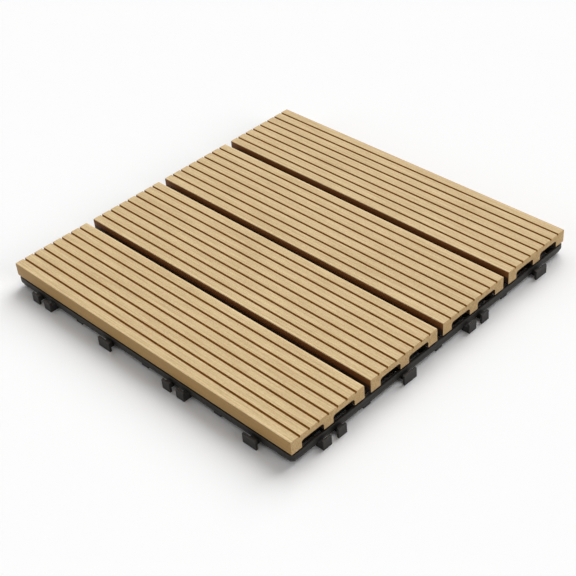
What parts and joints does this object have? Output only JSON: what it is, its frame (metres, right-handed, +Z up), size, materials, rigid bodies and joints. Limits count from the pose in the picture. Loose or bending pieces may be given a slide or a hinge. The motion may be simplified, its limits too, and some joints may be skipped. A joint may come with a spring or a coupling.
{
  "type": "interlocking deck tile",
  "caption": "Square outdoor deck tile: grooved wood-plastic planks screwed onto a black moulded base grid with locking lugs along its sides.",
  "frame": {"origin": "on the ground under the middle of the tile", "axes": "+X along the planks, +Y across them, +Z up through the deck"},
  "size_m": [0.3104, 0.3104, 0.022],
  "materials": {
    "wood_plastic": "brushed, matt",
    "black_plastic": "moulded, satin",
    "screw_steel": "zinc plated"
  },
  "bodies": {
    "root": {"plank_1": "wood_plastic", "plank_2": "wood_plastic", "plank_3": "wood_plastic", "plank_4": "wood_plastic", "base_grid": "black_plastic", "plank_screws": "screw_steel"}
  },
  "joints": []
}
